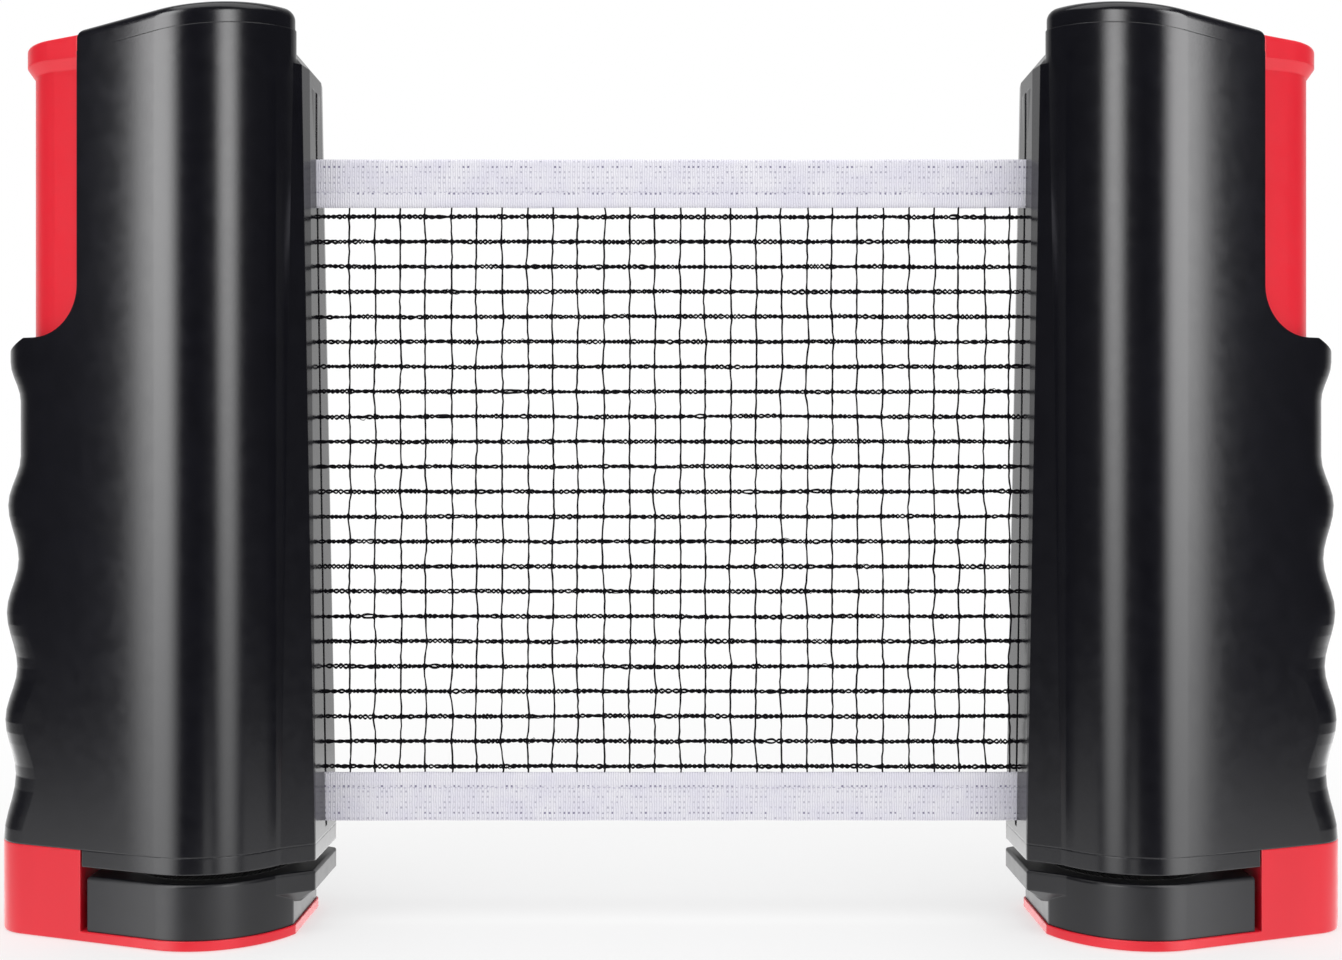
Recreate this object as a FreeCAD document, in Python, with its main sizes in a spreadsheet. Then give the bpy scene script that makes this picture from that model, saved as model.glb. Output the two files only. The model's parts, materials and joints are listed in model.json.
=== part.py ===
import FreeCAD, Part
import math
import os

import Sketcher

# A pair of roll-up table tennis net posts with spring-loaded table clamps, and the net between them.
# The frame is millimetres: +X to the right post, +Y to the back, +Z up, with the origin at mid span
# on the undersides of the closed lower jaws. The left post is modelled; the right one mirrors it.
# Post sketches are drawn about the roller axis, with the outward side of the left post at -X.

SIZES = {
    # driving layout
    "roller_x": 100.0,
    "table_to_net_top": 152.5,
    "jaw_face_z": 15.7,
    "housing_base_z": 19.2,
    # plan outline of a post
    "barrel_radius": 22.0,
    "flank_slope": 0.32,
    "foot_reach": 46.6,
    "grip_taper": 0.16,
    "valley_reach": 43.9,
    "neck_reach": 42.8,
    "hook_reach": 45.1,
    "first_valley_z": 33.3,
    "grip_pitch": 23.4,
    "corner_x": 1.5,
    "corner_radius": 20.0,
    "cap_front_x": 15.4,
    "cap_front_radius": 4.0,
    "cap_back_x": -0.2,
    "cap_back_radius": 15.0,
    # heights and slopes of the housing
    "neck_z": 102.5,
    "neck_height": 12.0,
    "hook_z": 123.0,
    "shoulder_z": 183.0,
    "crown_z": 188.0,
    "seam_z": 191.3,
    "cap_top_z": 196.3,
    "cap_slope": 0.132,
    "cap_inset": 0.25,
    "cap_round": 2.4,
    "cap_spigot_depth": 5.0,
    "cap_root": 2.0,
    "spigot_wall": 2.0,
    "window_x": 25.6,
    "window_z": 138.6,
    "window_radius": 10.8,
    "hook_flat": 2.6,
    "hook_round": 1.4,
    "hook_rise": 2.4,
    # snout that the net leaves through: each section's reach, and half widths from root to face
    "snout_root_x": 8.0,
    "snout_root_half": 17.0,
    "snout_low_reach": 23.7,
    "snout_low_shoulder_x": 15.2,
    "snout_low_shoulder_half": 14.8,
    "snout_low_cheek_half": 10.0,
    "snout_low_face_half": 9.4,
    "snout_top_reach": 21.3,
    "snout_top_shoulder_x": 16.8,
    "snout_top_shoulder_half": 13.0,
    "snout_top_cheek_half": 9.2,
    "snout_top_face_half": 5.2,
    "roof_reach": 17.4,
    "roof_root_half": 12.0,
    "roof_shoulder_x": 15.0,
    "roof_shoulder_half": 9.0,
    "roof_cheek_half": 6.5,
    "roof_face_half": 3.5,
    "snout_top_z": 186.6,
    "roof_z": 191.2,
    "slot_width": 1.6,
    "slot_low_z": 20.9,
    "slot_start_x": 10.0,
    # hollows
    "cavity_radius": 19.8,
    "cavity_top_z": 181.0,
    "bore_radius": 13.6,
    "channel_gap": 0.3,
    # clamp lever
    "lever_inset": 1.7,
    "lever_reach": 39.6,
    "lever_edge": 25.9,
    "lever_wall": 2.2,
    "lever_floor": 3.8,
    "lever_top_z": 191.9,
    "lever_top_slope": 0.06,
    "lip_z": 187.0,
    "lip_reach": 41.3,
    "lip_height": 2.4,
    "lip_spread": 0.9,
    "lip_round": 0.9,
    "lug_thickness": 5.0,
    "rod_x": 30.5,
    "rod_radius": 1.5,
    "low_lug_z": 24.0,
    "lug_rise": 4.0,
    "lug_reach": 4.0,
    "lug_half": 4.5,
    "rod_end_gap": 0.3,
    "stop_z": 112.0,
    "spring_radius": 3.5,
    "spring_wire": 0.5,
    "spring_coils": 15.0,
    # jaws
    "plate_thickness": 2.0,
    "plate_flat": 19.5,
    "insert_inset": 0.4,
    "insert_corner_x": 17.6,
    "insert_corner_radius": 1.9,
    "insert_round": 0.7,
    "insert_end": 23.2,
    "jaw_gap": 2.1,
    "nose_z": 6.8,
    "nose_height": 2.6,
    "nose_root_half": 16.0,
    "nose_shoulder_x": 14.0,
    "nose_shoulder_half": 12.5,
    "nose_cheek_x": 19.5,
    "nose_reach": 20.4,
    "nose_face_half": 9.0,
    "pad_thickness": 1.2,
    "pad_radius": 17.5,
    "block_start": 24.7,
    "foot_round": 3.0,
    "cap_end": 24.3,
    # roller
    "axle_radius": 2.0,
    "running_gap": 0.05,
    "seat_gap": 0.02,
    "tube_radius": 7.0,
    "tube_wall": 1.0,
    "clip_thickness": 0.8,
    "roll_radius": 13.8,
    "flange_low_z": 21.3,
    "flange_thickness": 0.6,
    "bush_plug": 5.0,
    "tube_top_z": 168.8,
    "collar_z": 170.0,
    "anchor_z": 92.0,
    "coil_radius": 4.2,
    "coil_wire": 0.45,
    "coil_turns": 22.0,
    # net
    "net_low_z": 22.0,
    "tape_height": 10.7,
    "net_edge_x": 83.5,
    "net_thickness": 0.8,
    "tape_thickness": 1.0,
    "tape_gap": 0.05,
    # screws
    "screw_radius": 1.2,
    "head_radius": 2.3,
    "head_height": 1.6,
    "base_screw_depth": 8.0,
    "base_outer_x": 20.8,
    "base_outer_y": 8.5,
    "base_inner_x": 21.0,
    "base_inner_y": 6.0,
    "foot_screw_depth": 3.0,
    "foot_head_z": 8.0,
    "foot_screw_x": 32.0,
    "foot_screw_y": 4.6,
}

doc = FreeCAD.newDocument("net_clamp")
sheet = doc.addObject("Spreadsheet::Sheet", "dims")
for row, (alias, size) in enumerate(SIZES.items(), start=1):
    sheet.set(f"A{row}", alias)
    sheet.set(f"B{row}", str(size))
    sheet.setAlias(f"B{row}", alias)
doc.recompute()

NET_TOP = "(dims.jaw_face_z + dims.table_to_net_top)"
FLANK_COSINE = "sqrt(1 - dims.flank_slope^2)"
ORIGIN = (-1, 1)
X_AXIS, Y_AXIS = -1, -2
START, END, CENTRE = 1, 2, 3

FAR = 60  # past the post on every side
GRIP_STEPS = 5  # outlines from each peak or valley of the grip to the next

left_parts = []
shared_parts = []


def number(expression):
    """The present value of a sheet expression."""
    return float(sheet.evalExpression(str(expression)))


# ---- sketch helpers: each outline is drawn at its size, then bound to the sheet ----


def new_sketch(body, name, plane="XY_Plane", offset="0"):
    sketch = body.newObject("Sketcher::SketchObject", name)
    support = [f for f in body.Origin.OriginFeatures if f.Role == plane][0]
    sketch.AttachmentSupport = [(support, "")]
    sketch.MapMode = "FlatFace"
    sketch.AttachmentOffset = FreeCAD.Placement(
        FreeCAD.Vector(0, 0, number(offset)), FreeCAD.Rotation()
    )
    sketch.setExpression("AttachmentOffset.Base.z", offset)
    return sketch


def bind(sketch, kind, where, expression):
    index = sketch.addConstraint(Sketcher.Constraint(kind, *where, number(expression)))
    sketch.setExpression(f"Constraints[{index}]", expression)


def place_point(sketch, point, x, y):
    """Hold a sketch point at two sheet expressions, or on an axis where one is zero."""
    for kind, expression, axis in (("DistanceX", x, Y_AXIS), ("DistanceY", y, X_AXIS)):
        if abs(number(expression)) < 1e-9:
            sketch.addConstraint(Sketcher.Constraint("PointOnObject", *point, axis))
        else:
            bind(sketch, kind, ORIGIN + point, expression)


def draw_circle(sketch, x, y, radius):
    centre = FreeCAD.Vector(number(x), number(y), 0)
    circle = sketch.addGeometry(Part.Circle(centre, FreeCAD.Vector(0, 0, 1), number(radius)))
    if abs(number(x)) < 1e-9 and abs(number(y)) < 1e-9:
        sketch.addConstraint(Sketcher.Constraint("Coincident", circle, CENTRE, *ORIGIN))
    else:
        place_point(sketch, (circle, CENTRE), x, y)
    bind(sketch, "Radius", (circle,), radius)


def draw_polygon(sketch, corners):
    """A closed outline of straight edges; each corner is a pair of sheet expressions."""
    points = [FreeCAD.Vector(number(x), number(y), 0) for x, y in corners]
    edges = [
        sketch.addGeometry(Part.LineSegment(a, b))
        for a, b in zip(points, points[1:] + points[:1])
    ]
    for before, after in zip(edges, edges[1:] + edges[:1]):
        sketch.addConstraint(Sketcher.Constraint("Coincident", before, END, after, START))
    for edge, (x, y) in zip(edges, corners):
        if abs(number(x)) < 1e-9 and abs(number(y)) < 1e-9:
            sketch.addConstraint(Sketcher.Constraint("Coincident", edge, START, *ORIGIN))
        else:
            place_point(sketch, (edge, START), x, y)


def draw_rectangle(sketch, low_x, low_y, high_x, high_y):
    draw_polygon(sketch, [(low_x, low_y), (high_x, low_y), (high_x, high_y), (low_x, high_y)])


def arc(centre_x, centre_y, radius, start, end):
    circle = Part.Circle(FreeCAD.Vector(centre_x, centre_y, 0), FreeCAD.Vector(0, 0, 1), radius)
    return Part.ArcOfCircle(circle, start, end)


def join_tangent(sketch, edges):
    for before, after in zip(edges, edges[1:] + edges[:1]):
        sketch.addConstraint(Sketcher.Constraint("Tangent", before, END, after, START))


def nose_expressions(radius, reach):
    """Centre distance and radius of the handle's nose, whose flanks keep one slope for any reach."""
    distance = f"(({reach}) - ({radius})) / (1 - dims.flank_slope)"
    nose = f"({radius}) - dims.flank_slope * {distance}"
    return distance, nose


def draw_post_outline(sketch, radius, reach, front, back):
    """Barrel circle, tapering handle with a round nose at -X, and a flat between two corners at +X.

    front and back are each a corner's (centre x, radius); both corners run tangent into the barrel.
    """
    distance, nose = nose_expressions(radius, reach)
    slope = number("dims.flank_slope")
    cosine = number(FLANK_COSINE)
    big, away, small = number(radius), number(distance), number(nose)
    front_x, front_radius = (number(size) for size in front)
    back_x, back_radius = (number(size) for size in back)
    front_y = -math.sqrt((big - front_radius) ** 2 - front_x**2)
    back_y = math.sqrt((big - back_radius) ** 2 - back_x**2)
    front_angle = math.atan2(front_y, front_x)
    back_angle = math.atan2(back_y, back_x)
    apart = math.hypot(back_x - front_x, back_y - front_y)
    tilt = math.atan2(back_y - front_y, back_x - front_x)
    tilt -= math.acos((front_radius - back_radius) / apart)
    flank_angle = math.atan2(cosine, -slope)
    nose_end_x = -away - small * slope
    nose_end_y = small * cosine
    barrel_x, barrel_y = -big * slope, big * cosine

    def point(x, y):
        return FreeCAD.Vector(x, y, 0)

    def on_corner(x, y, corner):
        return point(x + corner * math.cos(tilt), y + corner * math.sin(tilt))

    geometry = [
        arc(-away, 0, small, flank_angle, 2 * math.pi - flank_angle),
        Part.LineSegment(point(nose_end_x, -nose_end_y), point(barrel_x, -barrel_y)),
        arc(0, 0, big, -flank_angle, front_angle),
        arc(front_x, front_y, front_radius, front_angle, tilt),
        Part.LineSegment(
            on_corner(front_x, front_y, front_radius), on_corner(back_x, back_y, back_radius)
        ),
        arc(back_x, back_y, back_radius, tilt, back_angle),
        arc(0, 0, big, back_angle, flank_angle),
        Part.LineSegment(point(barrel_x, barrel_y), point(nose_end_x, nose_end_y)),
    ]
    edges = sketch.addGeometry(geometry)
    join_tangent(sketch, edges)
    nose_arc, front_barrel, front_corner, back_corner, back_barrel = (
        edges[i] for i in (0, 2, 3, 5, 6)
    )
    sketch.addConstraint(Sketcher.Constraint("Coincident", front_barrel, CENTRE, *ORIGIN))
    sketch.addConstraint(Sketcher.Constraint("Coincident", back_barrel, CENTRE, *ORIGIN))
    place_point(sketch, (nose_arc, CENTRE), f"-({distance})", "0")
    bind(sketch, "Radius", (nose_arc,), nose)
    for barrel in (front_barrel, back_barrel):
        bind(sketch, "Radius", (barrel,), radius)
    for corner_arc, (centre_x, corner_radius) in ((front_corner, front), (back_corner, back)):
        bind(sketch, "Radius", (corner_arc,), corner_radius)
        bind(sketch, "DistanceX", ORIGIN + (corner_arc, CENTRE), centre_x)


def draw_handle_outline(sketch, inset, reach, edge_x):
    """The handle part of the outline, inset from the body's flanks and closed by a wall at edge_x."""
    radius = f"(dims.barrel_radius - ({inset}))"
    distance, nose = nose_expressions(radius, reach)
    slope = number("dims.flank_slope")
    cosine = number(FLANK_COSINE)
    half = f"({radius} - dims.flank_slope * ({edge_x})) / {FLANK_COSINE}"
    away, small = number(distance), number(nose)
    wall_x, wall_y = -number(edge_x), number(half)
    nose_end_x, nose_end_y = -away - small * slope, small * cosine
    angle = math.atan2(cosine, -slope)

    def point(x, y):
        return FreeCAD.Vector(x, y, 0)

    nose_arc, front, wall, back = sketch.addGeometry(
        [
            arc(-away, 0, small, angle, 2 * math.pi - angle),
            Part.LineSegment(point(nose_end_x, -nose_end_y), point(wall_x, -wall_y)),
            Part.LineSegment(point(wall_x, -wall_y), point(wall_x, wall_y)),
            Part.LineSegment(point(wall_x, wall_y), point(nose_end_x, nose_end_y)),
        ]
    )
    sketch.addConstraint(Sketcher.Constraint("Tangent", nose_arc, END, front, START))
    sketch.addConstraint(Sketcher.Constraint("Tangent", back, END, nose_arc, START))
    sketch.addConstraint(Sketcher.Constraint("Coincident", front, END, wall, START))
    sketch.addConstraint(Sketcher.Constraint("Coincident", wall, END, back, START))
    place_point(sketch, (nose_arc, CENTRE), f"-({distance})", "0")
    bind(sketch, "Radius", (nose_arc,), nose)
    place_point(sketch, (wall, START), f"-({edge_x})", f"-({half})")
    place_point(sketch, (wall, END), f"-({edge_x})", half)


# ---- feature helpers ----


def new_body(label, parts=left_parts, about_roller=True):
    body = doc.addObject("PartDesign::Body", label)
    body.Label = label
    if about_roller:
        body.setExpression("Placement.Base.x", "-dims.roller_x")
    parts.append(body)
    return body


def pad(body, sketch, length):
    feature = body.newObject("PartDesign::Pad", sketch.Name + "_pad")
    feature.Profile = sketch
    feature.setExpression("Length", length)
    return feature


def pocket(body, sketch, length, reverse=False, both=False):
    """Cut below the sketch, above it, or to both sides in equal halves."""
    feature = body.newObject("PartDesign::Pocket", sketch.Name + "_cut")
    feature.Profile = sketch
    feature.Reversed = reverse
    if both:
        feature.SideType = "Symmetric"
    feature.setExpression("Length", length)
    return feature


def loft(body, name, sketches, ruled):
    feature = body.newObject("PartDesign::AdditiveLoft", name)
    feature.Profile = sketches[0]
    feature.Sections = sketches[1:]
    feature.Ruled = ruled
    return feature


def turned(label, profile, parts=left_parts):
    """A round part about the roller axis; profile corners are (radius, height) expressions."""
    body = new_body(label, parts)
    sketch = new_sketch(body, label + "_profile", "XZ_Plane")
    draw_polygon(sketch, profile)
    feature = body.newObject("PartDesign::Revolution", label + "_turn")
    feature.Profile = sketch
    feature.ReferenceAxis = (sketch, ["V_Axis"])
    feature.Angle = 360
    return body


def turned_ring(label, inner, outer, low, high):
    return turned(label, [(inner, low), (outer, low), (outer, high), (inner, high)])


def pad_outline(body, name, draw, low, high):
    """Pad what draw(sketch) draws from one height to another."""
    sketch = new_sketch(body, name, offset=low)
    draw(sketch)
    return pad(body, sketch, f"({high}) - ({low})")


def cut_outline(body, name, draw, low, high):
    sketch = new_sketch(body, name, offset=low)
    draw(sketch)
    return pocket(body, sketch, f"({high}) - ({low})", reverse=True)


def cut_profile(body, name, corners):
    """Cut a side profile right across the post; corners are (x, z) expressions."""
    sketch = new_sketch(body, name, "XZ_Plane")
    draw_polygon(sketch, corners)
    return pocket(body, sketch, "4 * dims.barrel_radius", both=True)


def cut_across(body, name, low_x, high_x, low, high):
    """Cut everything between two x positions, right across the post."""
    return cut_outline(
        body, name, lambda s: draw_rectangle(s, low_x, f"-{FAR}", high_x, f"{FAR}"), low, high
    )


def cut_beyond(body, name, level, slope, direction):
    """Cut everything above (1) or below (-1) a plane that rises towards +X from its level at x = 0."""
    side = f"{level} + {direction * 2 * FAR}"
    left = (f"-{FAR}", f"{level} - {FAR} * {slope}")
    right = (f"{FAR}", f"{level} + {FAR} * {slope}")
    corners = [left, right, (f"{FAR}", side), (f"-{FAR}", side)]
    return cut_profile(body, name, corners if direction > 0 else corners[::-1])


def fillet(body, feature, choose, radius):
    """Round the edges of a feature that choose(edge) picks."""
    doc.recompute()
    names = [f"Edge{i}" for i, e in enumerate(feature.Shape.Edges, 1) if choose(e)]
    rounded = body.newObject("PartDesign::Fillet", feature.Name + "_round")
    rounded.Base = (feature, names)
    rounded.setExpression("Radius", radius)
    return rounded


def circle_at(x, y, radius):
    return lambda sketch: draw_circle(sketch, x, y, radius)


BARREL_CORNER = ("dims.corner_x", "dims.corner_radius")
CAP_FRONT = ("dims.cap_front_x", "dims.cap_front_radius")
CAP_BACK = ("dims.cap_back_x", "dims.cap_back_radius")


def post_outline(inset="0", reach="dims.foot_reach", front=BARREL_CORNER, back=BARREL_CORNER):
    """Draws the post's plan outline, set in all round by inset."""
    corners = [(centre_x, f"{radius} - ({inset})") for centre_x, radius in (front, back)]
    return lambda sketch: draw_post_outline(
        sketch, f"dims.barrel_radius - ({inset})", f"{reach} - ({inset})", *corners
    )


def cap_outline(inset="0"):
    """The narrower outline of the crown and the top cap."""
    return post_outline(inset, "dims.hook_reach", CAP_FRONT, CAP_BACK)


def handle_outline(inset, reach, edge_x):
    return lambda sketch: draw_handle_outline(sketch, inset, reach, edge_x)


def snout_corners(root, shoulder, cheek, face):
    """Eight corners of a snout section from four (x, half width) pairs, from barrel to face."""
    pairs = (root, shoulder, cheek, face)
    front = [(x, f"-({y})") for x, y in pairs]
    return front + [(x, y) for x, y in reversed(pairs)]


SNOUT_LOW = snout_corners(
    ("dims.snout_root_x", "dims.snout_root_half"),
    ("dims.snout_low_shoulder_x", "dims.snout_low_shoulder_half"),
    ("dims.snout_low_reach - 0.1", "dims.snout_low_cheek_half"),
    ("dims.snout_low_reach", "dims.snout_low_face_half"),
)
SNOUT_TOP = snout_corners(
    ("dims.snout_root_x", "dims.snout_root_half"),
    ("dims.snout_top_shoulder_x", "dims.snout_top_shoulder_half"),
    ("dims.snout_top_reach - 0.7", "dims.snout_top_cheek_half"),
    ("dims.snout_top_reach", "dims.snout_top_face_half"),
)
SNOUT_ROOF = snout_corners(
    ("dims.snout_root_x", "dims.roof_root_half"),
    ("dims.roof_shoulder_x", "dims.roof_shoulder_half"),
    ("dims.roof_reach - 0.6", "dims.roof_cheek_half"),
    ("dims.roof_reach", "dims.roof_face_half"),
)
NOSE_UNDER = snout_corners(
    ("dims.snout_root_x", "dims.nose_root_half"),
    ("dims.nose_shoulder_x", "dims.nose_shoulder_half"),
    ("dims.nose_cheek_x", "dims.snout_low_face_half"),
    ("dims.nose_reach", "dims.nose_face_half"),
)


def snout_outline(corners):
    return lambda sketch: draw_polygon(sketch, corners)


# ---- housing ----


def grip_sections(body):
    """Plan outlines up the handle, its nose easing from each peak or valley of the grip to the next."""
    turns = [("dims.housing_base_z", "dims.foot_reach")]
    for half_pitches in range(1, 7):
        level = f"(dims.first_valley_z + {half_pitches - 1} * dims.grip_pitch / 2)"
        if half_pitches % 2:
            reach = f"(dims.valley_reach - {half_pitches - 1} * dims.grip_taper)"
        else:
            reach = f"(dims.foot_reach - {half_pitches} * dims.grip_taper)"
        turns.append((level, reach))
    turns.append(("dims.neck_z", "dims.neck_reach"))
    turns.append(("(dims.neck_z + dims.neck_height)", "dims.neck_reach"))
    turns.append(("dims.hook_z", "dims.hook_reach"))
    sketches = []
    for (low, low_reach), (high, high_reach) in zip(turns, turns[1:]):
        for step in range(GRIP_STEPS):
            part = step / GRIP_STEPS
            level = f"{low} + ({high} - {low}) * {part}"
            reach = f"({low_reach} + ({high_reach} - {low_reach}) * (1 - cos({part} * 180 deg)) / 2)"
            sketch = new_sketch(body, f"grip_{len(sketches)}", offset=level)
            post_outline(reach=reach)(sketch)
            sketches.append(sketch)
    last = new_sketch(body, "grip_last", offset="dims.hook_z")
    post_outline(reach="dims.hook_reach")(last)
    return sketches + [last]


def make_housing():
    body = new_body("left_housing")
    base = "dims.housing_base_z"
    loft(body, "grip_loft", grip_sections(body), ruled=True)
    pad_outline(
        body, "upper_shell", post_outline(reach="dims.hook_reach"), "dims.hook_z", "dims.shoulder_z"
    )
    # the inner side narrows from the full circle to the cap's flat
    low = new_sketch(body, "shoulder_low", offset="dims.shoulder_z")
    post_outline(reach="dims.hook_reach")(low)
    high = new_sketch(body, "shoulder_high", offset="dims.crown_z")
    cap_outline()(high)
    loft(body, "shoulder_loft", [low, high], ruled=True)
    pad_outline(body, "crown", cap_outline(), "dims.crown_z", "dims.crown_z + 11")
    # the snout
    levels = (
        (base, SNOUT_LOW),
        ("dims.snout_top_z", SNOUT_TOP),
        ("dims.roof_z", SNOUT_ROOF),
    )
    sketches = []
    for count, (level, corners) in enumerate(levels):
        sketch = new_sketch(body, f"snout_{count}", offset=level)
        snout_outline(corners)(sketch)
        sketches.append(sketch)
    loft(body, "snout_loft", sketches, ruled=True)
    cut_beyond(body, "seam", "dims.seam_z", "dims.cap_slope", 1)
    # hollows for the net roll, the cap's spigot, the net slot and the lever
    cut_outline(body, "cavity", circle_at("0", "0", "dims.cavity_radius"), base, "dims.cavity_top_z")
    cut_outline(body, "bore", circle_at("0", "0", "dims.bore_radius"), base, "dims.seam_z + 10")
    cut_outline(
        body,
        "slot",
        lambda s: draw_rectangle(
            s, "dims.slot_start_x", "-dims.slot_width / 2", f"{FAR}", "dims.slot_width / 2"
        ),
        "dims.slot_low_z",
        "dims.shoulder_z",
    )
    cut_outline(
        body,
        "channel",
        handle_outline(
            "dims.lever_inset - dims.channel_gap",
            "dims.lever_reach + dims.channel_gap",
            "dims.window_x - 0.1",
        ),
        base,
        "dims.seam_z + 10",
    )
    cut_window(body)
    # lugs that hold the guide rod, and the screw holes for the base cap
    for name, level in (("low_lug", "dims.low_lug_z"), ("stop_lug", "dims.stop_z")):
        pad_outline(
            body,
            name,
            lambda s: draw_rectangle(
                s, "-dims.rod_x - dims.lug_reach", "-dims.lug_half", "-dims.window_x + 1", "dims.lug_half"
            ),
            level,
            f"{level} + dims.lug_rise",
        )
    cut_outline(
        body,
        "rod_hole",
        circle_at("-dims.rod_x", "0", "dims.rod_radius + dims.seat_gap"),
        "dims.low_lug_z",
        "dims.stop_z + dims.lug_rise",
    )
    for name, x, y in BASE_SCREWS:
        cut_outline(
            body,
            "pilot_" + name,
            circle_at(x, y, "dims.screw_radius + dims.seat_gap"),
            base,
            "dims.housing_base_z + dims.base_screw_depth + 1",
        )
    return body


def cut_window(body):
    """Open the handle's outer side above the grips, with a round shoulder, so the lever can travel."""
    sketch = new_sketch(body, "window", "XZ_Plane")
    wall, level, radius = (number("dims." + n) for n in ("window_x", "window_z", "window_radius"))
    hook_reach, hook_z = number("dims.hook_reach"), number("dims.hook_z")
    top, outside = number("dims.seam_z") + 10, -FAR

    def point(x, z):
        return FreeCAD.Vector(x, z, 0)

    corners = [
        point(-wall - radius, level - radius),
        point(-wall - radius - number("dims.hook_flat"), level - radius),
        point(-hook_reach + number("dims.hook_round"), hook_z + number("dims.hook_rise")),
        point(-hook_reach - 0.1, hook_z),
        point(outside, hook_z),
        point(outside, top),
        point(-wall, top),
        point(-wall, level),
    ]
    lines = [sketch.addGeometry(Part.LineSegment(a, b)) for a, b in zip(corners, corners[1:])]
    shoulder = sketch.addGeometry(arc(-wall - radius, level, radius, -math.pi / 2, 0))
    for before, after in zip(lines, lines[1:]):
        sketch.addConstraint(Sketcher.Constraint("Coincident", before, END, after, START))
    sketch.addConstraint(Sketcher.Constraint("Tangent", lines[-1], END, shoulder, END))
    sketch.addConstraint(Sketcher.Constraint("Tangent", shoulder, START, lines[0], START))
    place_point(sketch, (shoulder, CENTRE), "-dims.window_x - dims.window_radius", "dims.window_z")
    bind(sketch, "Radius", (shoulder,), "dims.window_radius")
    hook_start = "-dims.window_x - dims.window_radius - dims.hook_flat"
    bind(sketch, "DistanceX", ORIGIN + (lines[0], END), hook_start)
    hook_end = ("-dims.hook_reach + dims.hook_round", "dims.hook_z + dims.hook_rise")
    place_point(sketch, (lines[1], END), *hook_end)
    place_point(sketch, (lines[2], END), "-dims.hook_reach - 0.1", "dims.hook_z")
    place_point(sketch, (lines[4], START), f"-{FAR}", "dims.hook_z")
    place_point(sketch, (lines[4], END), f"-{FAR}", "dims.seam_z + 10")
    bind(sketch, "DistanceY", ORIGIN + (lines[5], END), "dims.seam_z + 10")
    pocket(body, sketch, "4 * dims.barrel_radius", both=True)


# ---- caps ----

BASE_SCREWS = [
    ("outer_front", "-dims.base_outer_x", "-dims.base_outer_y"),
    ("outer_back", "-dims.base_outer_x", "dims.base_outer_y"),
    ("inner_front", "dims.base_inner_x", "-dims.base_inner_y"),
    ("inner_back", "dims.base_inner_x", "dims.base_inner_y"),
]


def make_base_cap():
    """The base cap is the fixed upper jaw: its underside bears on the table top."""
    body = new_body("left_base_cap")
    low, high = "dims.jaw_face_z", "dims.housing_base_z"
    pad_outline(body, "base_ring", post_outline(), low, high)
    pad_outline(body, "base_snout", snout_outline(SNOUT_LOW), low, high)
    cut_across(body, "base_end", f"-{FAR}", "-dims.cap_end", low, high)
    spigot_high = "dims.flange_low_z - 2 * dims.running_gap"
    spigot = circle_at("0", "0", "dims.cavity_radius - dims.running_gap")
    pad_outline(body, "base_spigot", spigot, high, spigot_high)
    hollow = circle_at("0", "0", "dims.cavity_radius - dims.spigot_wall")
    cut_outline(body, "spigot_hollow", hollow, high, spigot_high)
    pad_outline(body, "axle_boss", circle_at("0", "0", "2 * dims.axle_radius"), high, spigot_high)
    cut_outline(
        body,
        "axle_seat",
        circle_at("0", "0", "dims.axle_radius + dims.seat_gap"),
        f"{low} + dims.head_height",
        spigot_high,
    )
    cut_outline(body, "pad_recess", jaw_pad_outline("0"), low, f"{low} + dims.pad_thickness")
    for name, x, y in BASE_SCREWS:
        cut_outline(
            body, "hole_" + name, circle_at(x, y, "dims.screw_radius + dims.seat_gap"), low, high
        )
        cut_outline(
            body,
            "sink_" + name,
            circle_at(x, y, "dims.head_radius + dims.running_gap"),
            low,
            f"{low} + dims.pad_thickness + dims.head_height",
        )
    return body


def jaw_pad_outline(gap):
    """A round pad inside the four screws, less a running gap."""
    return circle_at("0", "0", f"dims.pad_radius - ({gap})")


def make_jaw_pad(label, low):
    body = new_body(label)
    disc = jaw_pad_outline("dims.running_gap")
    pad_outline(body, label + "_disc", disc, low, f"{low} + dims.pad_thickness")
    return body


def make_base_screws():
    body = new_body("left_base_screws")
    head_low = "dims.jaw_face_z + dims.pad_thickness"
    for name, x, y in BASE_SCREWS:
        pad_outline(
            body,
            "head_" + name,
            circle_at(x, y, "dims.head_radius"),
            head_low,
            f"{head_low} + dims.head_height - dims.seat_gap",
        )
        pad_outline(
            body,
            "shank_" + name,
            circle_at(x, y, "dims.screw_radius"),
            head_low,
            "dims.housing_base_z + dims.base_screw_depth",
        )
    body.AllowCompound = True
    return body


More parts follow.
